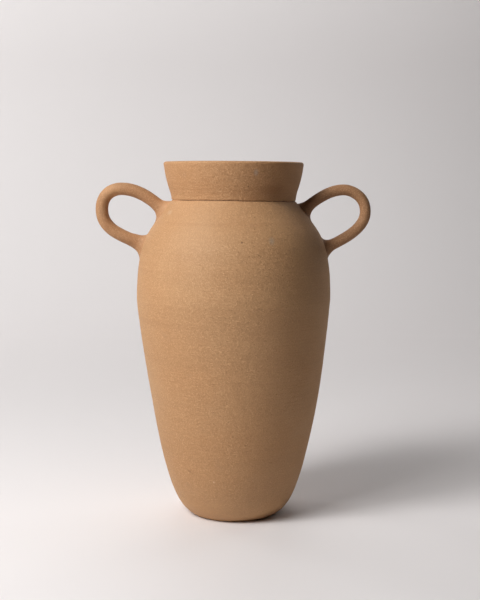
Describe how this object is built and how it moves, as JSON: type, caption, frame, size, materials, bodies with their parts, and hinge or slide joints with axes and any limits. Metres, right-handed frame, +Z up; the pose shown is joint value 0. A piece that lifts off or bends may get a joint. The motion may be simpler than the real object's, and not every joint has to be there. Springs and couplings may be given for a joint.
{
  "type": "two-handled ceramic jar",
  "caption": "Tall unglazed stoneware jar with a tapered body, a flared collar neck and ear-shaped coil handles, open at the mouth.",
  "frame": {"origin": "centre of the flat base, on the surface that the jar stands on", "axes": "+Z up along the jar's axis, the handles lie along X with the thicker one at -X, and the pictured front faces -Y"},
  "size_m": [0.2956, 0.208, 0.38],
  "materials": {
    "stoneware": "unglazed, sandy and matt",
    "slip": "unglazed slip in a joint, matt"
  },
  "bodies": {
    "root": {"body": "stoneware", "neck": "stoneware", "neck_slip_ring": "slip", "handle_left": "stoneware", "handle_left_upper_luting": "stoneware", "handle_left_lower_luting": "stoneware", "handle_right": "stoneware", "handle_right_upper_luting": "stoneware", "handle_right_lower_luting": "stoneware"}
  },
  "joints": []
}
